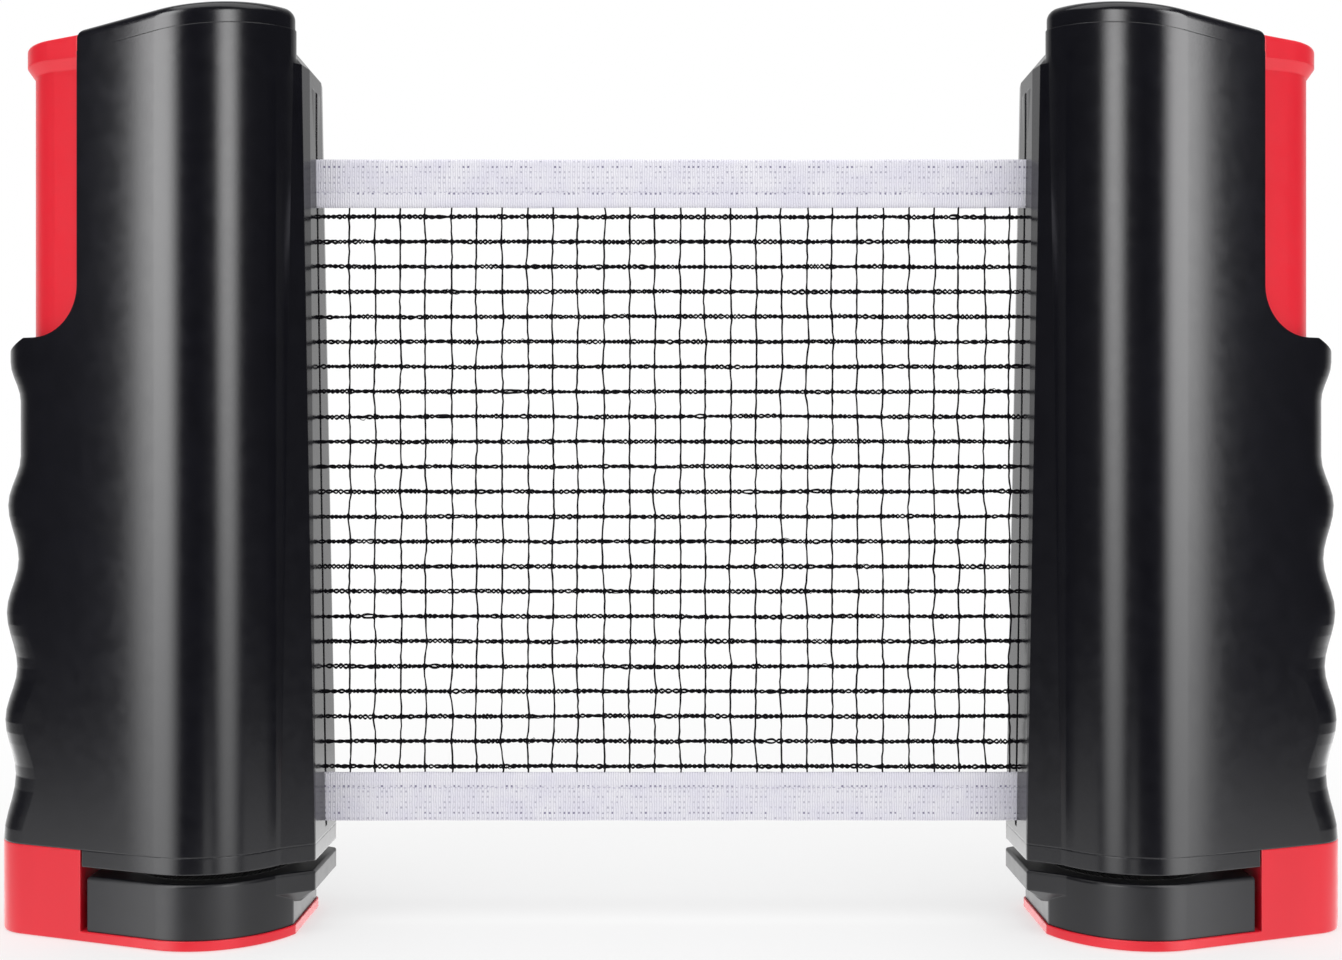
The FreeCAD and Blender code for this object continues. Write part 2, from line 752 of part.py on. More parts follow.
def make_top_cap():
    body = new_body("left_top_cap")
    low, high = "dims.seam_z - dims.cap_spigot_depth - 1", "dims.cap_top_z + 8"
    pad_outline(body, "cap_slab", cap_outline("dims.cap_inset"), low, high)
    cut_across(body, "cap_end", f"-{FAR}", "-dims.window_x", low, high)
    cut_beyond(body, "cap_under", "dims.seam_z", "dims.cap_slope", -1)
    top = cut_beyond(body, "cap_over", "dims.cap_top_z", "dims.cap_slope", 1)

    def on_top(edge):
        slope, level = number("dims.cap_slope"), number("dims.cap_top_z")
        return all(abs(v.Z - level - slope * v.X) < 0.01 for v in edge.Vertexes)

    fillet(body, top, on_top, "dims.cap_round")
    spigot = "dims.bore_radius - dims.running_gap"
    spigot_low = "dims.seam_z - dims.cap_spigot_depth"
    root = "dims.seam_z + dims.cap_root"
    pad_outline(body, "cap_spigot", circle_at("0", "0", spigot), spigot_low, root)
    hollow = circle_at("0", "0", f"{spigot} - dims.spigot_wall")
    cut_outline(body, "cap_hollow", hollow, spigot_low, "dims.seam_z - dims.cap_root")
    pad_outline(body, "cap_boss", circle_at("0", "0", "2 * dims.axle_radius"), spigot_low, root)
    seat = circle_at("0", "0", "dims.axle_radius + dims.seat_gap")
    cut_outline(body, "cap_seat", seat, spigot_low, "dims.seam_z")
    return body


# ---- clamp ----

FOOT_SCREWS = [
    ("front", "-dims.foot_screw_x", "-dims.foot_screw_y"),
    ("back", "-dims.foot_screw_x", "dims.foot_screw_y"),
]


def make_lever():
    """Thumb lever: a U section that runs inside the handle and carries the lower jaw."""
    body = new_body("left_clamp_lever")
    low = "dims.housing_base_z"
    outline = handle_outline("dims.lever_inset", "dims.lever_reach", "dims.lever_edge")
    lip = handle_outline("dims.lever_inset - dims.lip_spread", "dims.lip_reach", "dims.lever_edge")
    pad_outline(body, "lever_bar", outline, low, "dims.lip_z - dims.lip_height")
    flare_low = new_sketch(body, "flare_low", offset="dims.lip_z - dims.lip_height")
    outline(flare_low)
    flare_high = new_sketch(body, "flare_high", offset="dims.lip_z")
    lip(flare_high)
    loft(body, "flare", [flare_low, flare_high], ruled=True)
    pad_outline(body, "lip", lip, "dims.lip_z", "dims.lever_top_z + 1")
    top_level = "dims.lever_top_z + dims.lever_edge * dims.lever_top_slope"
    top = cut_beyond(body, "lip_over", top_level, "dims.lever_top_slope", 1)

    def on_top(edge):
        outside = all(v.X < -number("dims.lever_edge") - 0.01 for v in edge.Vertexes)
        return outside and all(v.Z > number("dims.lip_z") + 0.3 for v in edge.Vertexes)

    fillet(body, top, on_top, "dims.lip_round")
    wall = "dims.lever_inset + dims.lever_wall"
    inside = handle_outline(wall, "dims.lever_reach - dims.lever_wall", "dims.lever_edge - 1")
    floor = f"{low} + dims.lever_floor"
    cut_outline(body, "lever_hollow", inside, floor, "dims.lip_z - dims.lip_height")
    lug_low = "(dims.stop_z - dims.running_gap - dims.lug_thickness)"
    lug_high = "(dims.stop_z - dims.running_gap)"
    lug = handle_outline(
        f"{wall} - 0.5", "dims.lever_reach - dims.lever_wall + 0.5", "dims.lever_edge + 0.6"
    )
    pad_outline(body, "lever_lug", lug, lug_low, lug_high)
    cut_outline(
        body,
        "lever_bore",
        circle_at("-dims.rod_x", "0", "dims.rod_radius + dims.running_gap"),
        lug_low,
        lug_high,
    )
    for name, x, y in FOOT_SCREWS:
        cut_outline(
            body,
            "lever_pilot_" + name,
            circle_at(x, y, "dims.screw_radius + dims.seat_gap"),
            low,
            floor,
        )
    return body


def make_foot():
    """Lower jaw foot: a block under the handle and a thin plate under the barrel, in one moulding."""
    body = new_body("left_jaw_foot")
    top = "dims.housing_base_z - dims.running_gap"
    block = pad_outline(body, "foot_block", post_outline(), "0", top)
    plate_top = "dims.plate_thickness"
    cut_across(body, "foot_step", "-dims.block_start", f"{FAR}", plate_top, top)
    cut_across(body, "foot_end", "dims.plate_flat", f"{FAR}", "0", plate_top)
    round_foot_corner(body)
    for name, x, y in FOOT_SCREWS:
        cut_outline(
            body, "foot_hole_" + name, circle_at(x, y, "dims.screw_radius + dims.seat_gap"), "0", top
        )
        cut_outline(
            body,
            "foot_sink_" + name,
            circle_at(x, y, "dims.head_radius + dims.running_gap"),
            "0",
            "dims.foot_head_z",
        )
    return body


def round_foot_corner(body):
    """Round the block's lower outer corner right across the post."""
    sketch = new_sketch(body, "foot_corner", "XZ_Plane")
    radius, reach = number("dims.foot_round"), number("dims.foot_reach")
    beyond = 10

    def point(x, z):
        return FreeCAD.Vector(x, z, 0)

    corner = sketch.addGeometry(arc(radius - reach, radius, radius, math.pi, 1.5 * math.pi))
    corners = [
        point(radius - reach, 0),
        point(radius - reach, -beyond),
        point(-reach - beyond, -beyond),
        point(-reach - beyond, radius),
        point(-reach, radius),
    ]
    lines = [sketch.addGeometry(Part.LineSegment(a, b)) for a, b in zip(corners, corners[1:])]
    for before, after in zip([corner] + lines, lines + [corner]):
        sketch.addConstraint(Sketcher.Constraint("Coincident", before, END, after, START))
    place_point(sketch, (corner, CENTRE), "dims.foot_round - dims.foot_reach", "dims.foot_round")
    place_point(sketch, (corner, START), "-dims.foot_reach", "dims.foot_round")
    place_point(sketch, (lines[0], END), "dims.foot_round - dims.foot_reach", f"-{beyond}")
    place_point(sketch, (lines[1], END), f"-dims.foot_reach - {beyond}", f"-{beyond}")
    bind(sketch, "DistanceX", ORIGIN + (lines[2], END), f"-dims.foot_reach - {beyond}")
    bind(sketch, "DistanceY", ORIGIN + (lines[2], END), "dims.foot_round")
    bind(sketch, "DistanceX", ORIGIN + (corner, END), "dims.foot_round - dims.foot_reach")
    pocket(body, sketch, "4 * dims.barrel_radius", both=True)


def make_foot_screws():
    body = new_body("left_foot_screws")
    head_high = "dims.foot_head_z - dims.seat_gap"
    for name, x, y in FOOT_SCREWS:
        pad_outline(
            body,
            "foot_head_" + name,
            circle_at(x, y, "dims.head_radius"),
            f"{head_high} - dims.head_height",
            head_high,
        )
        pad_outline(
            body,
            "foot_shank_" + name,
            circle_at(x, y, "dims.screw_radius"),
            f"{head_high} - dims.head_height",
            "dims.housing_base_z + dims.foot_screw_depth",
        )
    body.AllowCompound = True
    return body


def make_jaw_insert():
    body = new_body("left_jaw_insert")
    low = "dims.plate_thickness"
    high = "dims.jaw_face_z - dims.jaw_gap"
    corner = ("dims.insert_corner_x", "dims.insert_corner_radius")
    plan = post_outline("dims.insert_inset", front=corner, back=corner)
    pad_outline(body, "insert_block", plan, low, high)
    nose_low = new_sketch(body, "nose_low", offset="dims.nose_z")
    snout_outline(NOSE_UNDER)(nose_low)
    nose_high_z = "dims.nose_z + dims.nose_height"
    nose_high = new_sketch(body, "nose_high", offset=nose_high_z)
    snout_outline(SNOUT_LOW)(nose_high)
    loft(body, "nose_flare", [nose_low, nose_high], ruled=True)
    pad_outline(body, "nose", snout_outline(SNOUT_LOW), nose_high_z, high)
    end = cut_across(body, "insert_end_cut", f"-{FAR}", "-dims.insert_end", low, high)

    def upper_rim(edge):
        return all(abs(v.Z - number(high)) < 0.01 for v in edge.Vertexes)

    fillet(body, end, upper_rim, "dims.insert_round")
    cut_outline(
        body, "insert_recess", jaw_pad_outline("0"), f"{high} - dims.pad_thickness", high
    )
    return body


def make_guide_rod():
    body = new_body("left_guide_rod")
    pad_outline(
        body,
        "rod",
        circle_at("-dims.rod_x", "0", "dims.rod_radius"),
        "dims.low_lug_z + dims.rod_end_gap",
        "dims.stop_z + dims.lug_rise - dims.rod_end_gap",
    )
    return body


def make_coil(label, x, low, high, radius, wire, turns, parts=left_parts):
    """A helical spring between two heights, swept along a Part helix."""
    path = doc.addObject("Part::Helix", label + "_path")
    path.setExpression("Height", f"({high}) - ({low}) - 2 * ({wire})")
    path.setExpression("Pitch", f"(({high}) - ({low}) - 2 * ({wire})) / ({turns})")
    path.setExpression("Radius", radius)
    section = doc.addObject("Part::Circle", label + "_section")
    section.setExpression("Radius", wire)
    section.Placement.Rotation = FreeCAD.Rotation(FreeCAD.Vector(1, 0, 0), 90)
    section.setExpression("Placement.Base.x", radius)
    spring = doc.addObject("Part::Sweep", label)
    spring.Sections = [section]
    spring.Spine = (path, [])
    spring.Solid = True
    spring.Frenet = True
    spring.Label = label
    spring.setExpression("Placement.Base.x", f"({x}) - dims.roller_x")
    spring.setExpression("Placement.Base.z", f"({low}) + ({wire})")
    parts.append(spring)
    return spring


# ---- roller ----


def make_roller():
    flange_high = "dims.flange_low_z + dims.flange_thickness"
    inside = "dims.tube_radius - dims.tube_wall"
    bore = "dims.axle_radius + dims.running_gap"
    turned_ring("left_roller_tube", inside, "dims.tube_radius", flange_high, "dims.tube_top_z")
    turned(
        "left_lower_bush",
        [
            (bore, "dims.flange_low_z"),
            ("dims.tube_radius", "dims.flange_low_z"),
            ("dims.tube_radius", flange_high),
            (f"{inside} - dims.seat_gap", flange_high),
            (f"{inside} - dims.seat_gap", f"{flange_high} + dims.bush_plug"),
            (bore, f"{flange_high} + dims.bush_plug"),
        ],
    )
    turned(
        "left_upper_bush",
        [
            (bore, "dims.tube_top_z - dims.bush_plug"),
            (f"{inside} - dims.seat_gap", "dims.tube_top_z - dims.bush_plug"),
            (f"{inside} - dims.seat_gap", "dims.tube_top_z"),
            ("dims.tube_radius", "dims.tube_top_z"),
            ("dims.tube_radius", "dims.tube_top_z + dims.flange_thickness"),
            (bore, "dims.tube_top_z + dims.flange_thickness"),
        ],
    )
    clip = new_body("left_net_clip")
    clip_low, clip_high = "dims.net_low_z + 2", f"{NET_TOP} - 2"
    pad_outline(
        clip, "clip_outer", circle_at("0", "0", "dims.tube_radius + dims.clip_thickness"), clip_low, clip_high
    )
    cut_outline(
        clip, "clip_inner", circle_at("0", "0", "dims.tube_radius + dims.seat_gap"), clip_low, clip_high
    )
    cut_outline(
        clip,
        "clip_back",
        lambda s: draw_polygon(
            s, [("4", "-2"), ("4", "2"), ("12", "6"), ("12", "12"), ("-12", "12"), ("-12", "-12"),
                ("12", "-12"), ("12", "-6")]
        ),
        clip_low,
        clip_high,
    )
    turned_ring(
        "left_net_roll",
        "dims.tube_radius + dims.clip_thickness + dims.running_gap",
        "dims.roll_radius",
        "dims.net_low_z",
        NET_TOP,
    )


def make_axle():
    turned(
        "left_axle",
        [
            ("0", "dims.jaw_face_z + dims.head_height + 0.1"),
            ("dims.axle_radius", "dims.jaw_face_z + dims.head_height + 0.1"),
            ("dims.axle_radius", "dims.seam_z - 0.2"),
            ("0", "dims.seam_z - 0.2"),
        ],
    )
    hole = "dims.axle_radius + dims.seat_gap"
    turned_ring("left_axle_collar", hole, "2 * dims.axle_radius", "dims.collar_z", "dims.collar_z + 4")
    turned_ring(
        "left_spring_anchor",
        hole,
        "dims.tube_radius - dims.tube_wall - 0.6",
        "dims.anchor_z",
        "dims.anchor_z + 6",
    )


# ---- net ----


def make_net_sheet(label, low, high, thickness):
    body = new_body(label, shared_parts, about_roller=False)
    half = f"({thickness}) / 2"
    pad_outline(
        body,
        label + "_sheet",
        lambda s: draw_rectangle(s, "-dims.net_edge_x", f"-{half}", "dims.net_edge_x", half),
        low,
        high,
    )
    return body


def mirror(source):
    """The right post's copy of a left part."""
    twin = doc.addObject("Part::Mirroring", source.Label.replace("left_", "right_"))
    twin.Source = source
    twin.Normal = (1, 0, 0)
    twin.Base = (0, 0, 0)
    twin.Label = source.Label.replace("left_", "right_")
    return twin


make_housing()
make_base_cap()
make_top_cap()
make_base_screws()
make_jaw_pad("left_upper_pad", "dims.jaw_face_z")
make_jaw_pad("left_lower_pad", "dims.jaw_face_z - dims.jaw_gap - dims.pad_thickness")
make_lever()
make_foot()
make_foot_screws()
make_jaw_insert()
make_guide_rod()
make_coil(
    "left_clamp_spring",
    "-dims.rod_x",
    "dims.low_lug_z + dims.lug_rise + dims.seat_gap",
    "dims.stop_z - dims.running_gap - dims.lug_thickness - dims.seat_gap",
    "dims.spring_radius",
    "dims.spring_wire",
    "dims.spring_coils",
)
make_axle()
make_coil(
    "left_retract_spring",
    "0",
    "dims.flange_low_z + dims.flange_thickness + dims.bush_plug + 0.2",
    "dims.anchor_z - 0.05",
    "dims.coil_radius",
    "dims.coil_wire",
    "dims.coil_turns",
)
make_roller()
tape_low = "dims.net_low_z + dims.tape_height"
tape_high = f"{NET_TOP} - dims.tape_height"
make_net_sheet("net_bottom_tape", "dims.net_low_z", tape_low, "dims.tape_thickness")
make_net_sheet(
    "net_mesh", f"{tape_low} + dims.tape_gap", f"{tape_high} - dims.tape_gap", "dims.net_thickness"
)
make_net_sheet("net_top_tape", tape_high, NET_TOP, "dims.tape_thickness")

doc.recompute()
right_parts = [mirror(part) for part in left_parts]
doc.recompute()

for thing in doc.Objects:
    if "Invalid" in thing.State or "Error" in thing.State:
        raise RuntimeError(f"{thing.Label} did not build: {thing.State}")
os.makedirs("parts", exist_ok=True)
for part in left_parts + right_parts + shared_parts:
    if part.Shape.isNull() or not part.Shape.isValid():
        raise RuntimeError(f"{part.Label} has no valid shape")
    part.Shape.exportStep(f"parts/{part.Label}.step")
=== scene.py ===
import json
import math

import bpy
import numpy as np
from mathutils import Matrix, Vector


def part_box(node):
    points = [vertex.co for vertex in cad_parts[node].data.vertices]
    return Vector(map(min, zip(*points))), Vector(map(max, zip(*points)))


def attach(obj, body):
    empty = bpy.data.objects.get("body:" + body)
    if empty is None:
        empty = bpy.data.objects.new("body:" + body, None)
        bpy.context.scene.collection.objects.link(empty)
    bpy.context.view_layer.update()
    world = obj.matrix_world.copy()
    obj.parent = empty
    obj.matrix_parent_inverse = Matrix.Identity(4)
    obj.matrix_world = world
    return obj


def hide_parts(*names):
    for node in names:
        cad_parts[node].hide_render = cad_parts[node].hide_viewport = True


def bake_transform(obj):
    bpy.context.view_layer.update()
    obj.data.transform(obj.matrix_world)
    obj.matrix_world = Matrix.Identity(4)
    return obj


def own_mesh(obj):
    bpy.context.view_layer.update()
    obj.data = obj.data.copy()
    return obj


# Looks for a pair of roll-up table tennis net posts with the net between them.
# Metres, +X to the right post, +Y to the back, +Z up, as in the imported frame.

MM = 0.001
SEED = 7

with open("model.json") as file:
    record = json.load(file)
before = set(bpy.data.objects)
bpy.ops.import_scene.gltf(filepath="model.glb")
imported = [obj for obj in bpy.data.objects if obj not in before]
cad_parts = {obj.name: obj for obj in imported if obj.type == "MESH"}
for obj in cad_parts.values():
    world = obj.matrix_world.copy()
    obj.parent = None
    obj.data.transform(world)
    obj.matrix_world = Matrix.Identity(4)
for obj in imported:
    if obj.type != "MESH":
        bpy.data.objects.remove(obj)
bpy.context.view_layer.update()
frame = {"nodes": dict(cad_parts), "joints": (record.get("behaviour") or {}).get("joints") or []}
rng = np.random.default_rng(SEED)

SIDES = {"left": -1, "right": 1}
JOINTS = {joint["name"]: joint for joint in frame["joints"]}
PULL = JOINTS["net_pull"]["range_m"][1]


# ---------------------------------------------------------------- node helpers


class Shader:
    """A material and the few node operations that the finishes below are made of."""

    def __init__(self, name):
        self.material = bpy.data.materials.new(name)
        self.material.use_nodes = True
        self.tree = self.material.node_tree
        self.tree.nodes.clear()
        self.output = self.tree.nodes.new("ShaderNodeOutputMaterial")
        self.surface = self.tree.nodes.new("ShaderNodeBsdfPrincipled")
        self.link(self.surface.outputs["BSDF"], self.output.inputs["Surface"])
        self.place = self.tree.nodes.new("ShaderNodeTexCoord").outputs["Object"]

    def link(self, output, socket):
        self.tree.links.new(output, socket)

    def set(self, **values):
        for name, value in values.items():
            socket = self.surface.inputs[name.replace("_", " ")]
            if isinstance(value, bpy.types.NodeSocket):
                self.link(value, socket)
            else:
                socket.default_value = value

    def stretched(self, x, y, z):
        """The object's own coordinates, scaled on each axis."""
        node = self.tree.nodes.new("ShaderNodeMapping")
        node.inputs["Scale"].default_value = (x, y, z)
        self.link(self.place, node.inputs["Vector"])
        return node.outputs["Vector"]

    def noise(self, scale, detail=2.0, vector=None):
        node = self.tree.nodes.new("ShaderNodeTexNoise")
        node.inputs["Scale"].default_value = scale
        node.inputs["Detail"].default_value = detail
        self.link(vector or self.place, node.inputs["Vector"])
        return node.outputs["Fac"]

    def cells(self, scale):
        node = self.tree.nodes.new("ShaderNodeTexVoronoi")
        node.inputs["Scale"].default_value = scale
        self.link(self.place, node.inputs["Vector"])
        return node.outputs["Distance"]

    def wave(self, scale, direction):
        node = self.tree.nodes.new("ShaderNodeTexWave")
        node.bands_direction = direction
        node.inputs["Scale"].default_value = scale
        self.link(self.place, node.inputs["Vector"])
        return node.outputs["Fac"]

    def remap(self, value, low, high, to_low=0.0, to_high=1.0):
        node = self.tree.nodes.new("ShaderNodeMapRange")
        node.interpolation_type = "SMOOTHSTEP"
        self.link(value, node.inputs["Value"])
        for name, number in (
            ("From Min", low),
            ("From Max", high),
            ("To Min", to_low),
            ("To Max", to_high),
        ):
            node.inputs[name].default_value = number
        return node.outputs["Result"]

    def math(self, operation, a, b=0.0):
        node = self.tree.nodes.new("ShaderNodeMath")
        node.operation = operation
        for socket, value in zip(node.inputs, (a, b)):
            if isinstance(value, bpy.types.NodeSocket):
                self.link(value, socket)
            else:
                socket.default_value = value
        return node.outputs["Value"]

    def mix(self, factor, a, b):
        node = self.tree.nodes.new("ShaderNodeMix")
        node.data_type = "RGBA"
        for socket, value in ((node.inputs[0], factor), (node.inputs[6], a), (node.inputs[7], b)):
            if isinstance(value, bpy.types.NodeSocket):
                self.link(value, socket)
            else:
                socket.default_value = value
        return node.outputs[2]

    def bump(self, height, distance, strength=1.0, normal=None):
        node = self.tree.nodes.new("ShaderNodeBump")
        node.inputs["Strength"].default_value = strength
        node.inputs["Distance"].default_value = distance
        self.link(height, node.inputs["Height"])
        if normal is not None:
            self.link(normal, node.inputs["Normal"])
        return node.outputs["Normal"]

    def soft_edges(self, radius):
        """The small radius that a mould leaves on every edge."""
        node = self.tree.nodes.new("ShaderNodeBevel")
        node.samples = 6
        node.inputs["Radius"].default_value = radius
        return node.outputs["Normal"]

    def edge_wear(self, radius):
        """1 along worn convex edges, 0 elsewhere."""
        bevel = self.soft_edges(radius)
        geometry = self.tree.nodes.new("ShaderNodeNewGeometry")
        dot = self.tree.nodes.new("ShaderNodeVectorMath")
        dot.operation = "DOT_PRODUCT"
        self.link(bevel, dot.inputs[0])
        self.link(geometry.outputs["Normal"], dot.inputs[1])
        return self.remap(dot.outputs["Value"], 0.97, 0.85)


def grey(value, blue=1.0):
    return (value, value, value * blue, 1.0)


# ---------------------------------------------------------------- finishes


def moulded_plastic(name, dark, light, roughness, grain=0.003 * MM, edge=0.35 * MM):
    """Satin moulding: fine spark-eroded grain, slight mottling, softened and rubbed edges."""
    s = Shader(name)
    mottle = s.noise(160, 2)
    grain_field = s.noise(2600, 2)
    pits = s.cells(1700)
    colour = s.mix(s.remap(mottle, 0.3, 0.7), dark, light)
    worn = s.math("MULTIPLY", s.edge_wear(edge * 1.6), s.remap(s.noise(260, 3), 0.42, 0.68))
    rubbed = tuple(min(1.0, c * 2.2 + 0.012) for c in light[:3]) + (1.0,)
    colour = s.mix(s.math("MULTIPLY", worn, 0.35), colour, rubbed)
    rough = s.remap(s.noise(320, 2), 0.3, 0.7, roughness - 0.012, roughness + 0.012)
    relief = s.math("ADD", grain_field, s.math("MULTIPLY", pits, 0.6))
    s.set(
        Base_Color=colour,
        Roughness=rough,
        Normal=s.bump(relief, grain, normal=s.soft_edges(edge)),
        IOR=1.5,
    )
    return s.material


def red_plastic():
    """Semi-gloss pigmented moulding with faint flow marks."""
    s = Shader("red_plastic")
    flow = s.noise(60, 2, vector=s.stretched(1, 1, 0.25))
    colour = s.mix(s.remap(flow, 0.3, 0.7), (0.86, 0.008, 0.026, 1), (0.93, 0.012, 0.032, 1))
    rough = s.remap(s.noise(420, 2), 0.3, 0.7, 0.30, 0.34)
    s.set(
        Base_Color=colour,
        Roughness=rough,
        Normal=s.bump(s.noise(2200, 2), 0.002 * MM, normal=s.soft_edges(0.45 * MM)),
    )
    return s.material


def rubber():
    """Matt black jaw rubber with fine cross ribs that grip the table."""
    s = Shader("rubber")
    ribs = s.wave(420, "X")
    dust = s.remap(s.noise(700, 4), 0.5, 0.75)
    colour = s.mix(s.math("MULTIPLY", dust, 0.3), grey(0.012), grey(0.045))
    s.set(Base_Color=colour, Roughness=0.78, Normal=s.bump(ribs, 0.25 * MM, 0.8))
    return s.material


def metal(name, shade, roughness, brush, blue=1.02):
    """Drawn metal: bands of finer and coarser scratches along the brushed direction."""
    s = Shader(name)
    lines = s.noise(1400, 3, vector=s.stretched(*brush))
    colour = s.mix(s.remap(lines, 0.3, 0.7), grey(shade * 0.82, blue), grey(shade, blue))
    rough = s.remap(lines, 0.25, 0.75, roughness - 0.06, roughness + 0.08)
    s.set(
        Base_Color=colour,
        Metallic=1.0,
        Roughness=rough,
        Normal=s.bump(lines, 0.006 * MM, normal=s.soft_edges(0.15 * MM)),
    )
    return s.material


def acetal():
    """Waxy off-white bearing plastic."""
    s = Shader("acetal")
    colour = s.mix(s.noise(90, 3), (0.74, 0.73, 0.69, 1), (0.82, 0.81, 0.78, 1))
    s.set(
        Base_Color=colour,
        Roughness=s.remap(s.noise(500), 0.3, 0.7, 0.34, 0.46),
        Subsurface_Weight=0.2,
        Subsurface_Radius=(0.8 * MM, 0.7 * MM, 0.6 * MM),
        Subsurface_Scale=1.0,
        Normal=s.bump(s.noise(3000), 0.005 * MM, normal=s.soft_edges(0.2 * MM)),
    )
    return s.material


def net_cord():
    """Black twisted polyester: dark and fibrous, with hardly any gloss."""
    s = Shader("net_cord")
    fibre = s.noise(5200, 3, vector=s.stretched(0.4, 1, 1))
    colour = s.mix(s.remap(fibre, 0.35, 0.75), (0.002, 0.002, 0.003, 1), (0.010, 0.009, 0.013, 1))
    s.set(
        Base_Color=colour,
        Roughness=0.85,
        Specular_IOR_Level=0.15,
        Normal=s.bump(fibre, 0.05 * MM),
    )
    return s.material


def tape_weave(name, outer_z, inward):
    """Lavender white woven tape: upright ribs with painted shade in the grooves between them, and
    rows of small gaps where the weave opens, painted darker.

    outer_z is the height of the tape's free edge, and inward is the way from it to the mesh.
    """
    s = Shader(name)
    split = s.tree.nodes.new("ShaderNodeSeparateXYZ")
    s.link(s.place, split.inputs[0])
    x, z = split.outputs["X"], split.outputs["Z"]
    depth = s.math("MULTIPLY", s.math("SUBTRACT", z, outer_z), inward)

    def beat(value, pitch, start=0.0):
        turns = s.math("MULTIPLY", s.math("SUBTRACT", value, start), 2 * math.pi / pitch)
        return s.math("COSINE", turns)

    def near(level, reach):
        """1 at that depth in the tape, 0 from reach away."""
        away = s.math("ABSOLUTE", s.math("SUBTRACT", depth, level))
        return s.remap(away, reach, 0.1 * MM)

    drift = s.math("MULTIPLY", s.noise(400, 2), 0.5 * MM)
    ribs = s.remap(beat(s.math("ADD", x, drift), RIB), -1.0, 0.2, 1.0, 0.0)
    across = s.remap(beat(s.math("ADD", x, drift), 2 * RIB), 0.1, 0.8)
    along = s.remap(beat(depth, GAP_PITCH, FIRST_GAP), 0.0, 0.8)
    gaps = s.math("MULTIPLY", across, along)
    rim = near(1.9 * MM, 1.1 * MM)
    seam = near(7.5 * MM, 0.8 * MM)
    open_zone = s.remap(depth, 8.3 * MM, 7.7 * MM)
    uneven = s.remap(s.noise(650, 3), 0.42, 0.66)
    strength = s.math("ADD", s.math("MULTIPLY", s.math("ADD", rim, seam), 0.42), 0.26)
    patchy = s.math("MULTIPLY", uneven, strength)
    spots = s.math("MULTIPLY", s.math("MULTIPLY", gaps, open_zone), patchy)
    # painted shade: the grooves between the ribs are painted darker, and the rows of gaps are
    # painted darker still
    shade = s.math("ADD", spots, s.math("MULTIPLY", ribs, 0.12))
    cloud = s.remap(s.noise(130, 3), 0.3, 0.7)
    cloth = s.mix(cloud, (0.87, 0.855, 0.955, 1), (0.94, 0.93, 0.99, 1))
    colour = s.mix(s.math("MULTIPLY", shade, 2.2), cloth, (0.27, 0.255, 0.37, 1))
    height = s.math("SUBTRACT", 1.0, s.math("ADD", ribs, s.math("MULTIPLY", gaps, 2.0)))
    s.set(
        Base_Color=colour,
        Roughness=0.85,
        Sheen_Weight=0.1,
        Normal=s.bump(height, 0.05 * MM, 0.7),
    )
    return s.material


def stitch_thread():
    s = Shader("stitch_thread")
    twist = s.wave(900, "DIAGONAL")
    # painted shade: the thread is painted darker where the twist sinks between its plies
    colour = s.mix(twist, (0.50, 0.48, 0.60, 1), (0.72, 0.70, 0.80, 1))
    s.set(Base_Color=colour, Roughness=0.8, Normal=s.bump(twist, 0.05 * MM))
    return s.material


BLACK = moulded_plastic("black_plastic", grey(0.0052, 1.5), grey(0.0062, 1.5), 0.18)
INSERT = moulded_plastic("insert_plastic", grey(0.0055, 1.4), grey(0.0075, 1.4), 0.34)
RED = red_plastic()
RUBBER = rubber()
STEEL = metal("drawn_steel", 0.58, 0.26, (1, 1, 0.03))
SPRING = metal("spring_wire", 0.42, 0.30, (0.3, 0.3, 1))
TUBE = metal("drawn_tube", 0.74, 0.24, (1, 1, 0.02))
ACETAL = acetal()
CORD = net_cord()
STITCH = stitch_thread()

NODE_FINISH = {
    "housing": BLACK,
    "base_cap": BLACK,
    "top_cap": BLACK,
    "jaw_insert": INSERT,
    "clamp_lever": RED,
    "jaw_foot": RED,
    "upper_pad": RUBBER,
    "lower_pad": RUBBER,
    "base_screws": STEEL,
    "foot_screws": STEEL,
    "guide_rod": STEEL,
    "axle": STEEL,
    "clamp_spring": SPRING,
    "retract_spring": SPRING,
    "roller_tube": TUBE,
    "axle_collar": ACETAL,
    "spring_anchor": ACETAL,
    "lower_bush": ACETAL,
    "upper_bush": ACETAL,
    "net_clip": ACETAL,
    "net_roll": CORD,
}


def dress_cad_nodes():
    for side in SIDES:
        for part, finish in NODE_FINISH.items():
            mesh = frame["nodes"][f"{side}_{part}"].data
            mesh.materials.clear()
            mesh.materials.append(finish)


# ---------------------------------------------------------------- mesh helpers


def add_mesh(name, vertices, faces, finish, smooth=True):
    mesh = bpy.data.meshes.new(name)
    mesh.from_pydata(vertices, [], faces)
    mesh.materials.append(finish)
    if smooth:
        mesh.shade_smooth()
    piece = bpy.data.objects.new(name, mesh)
    bpy.context.scene.collection.objects.link(piece)
    return piece


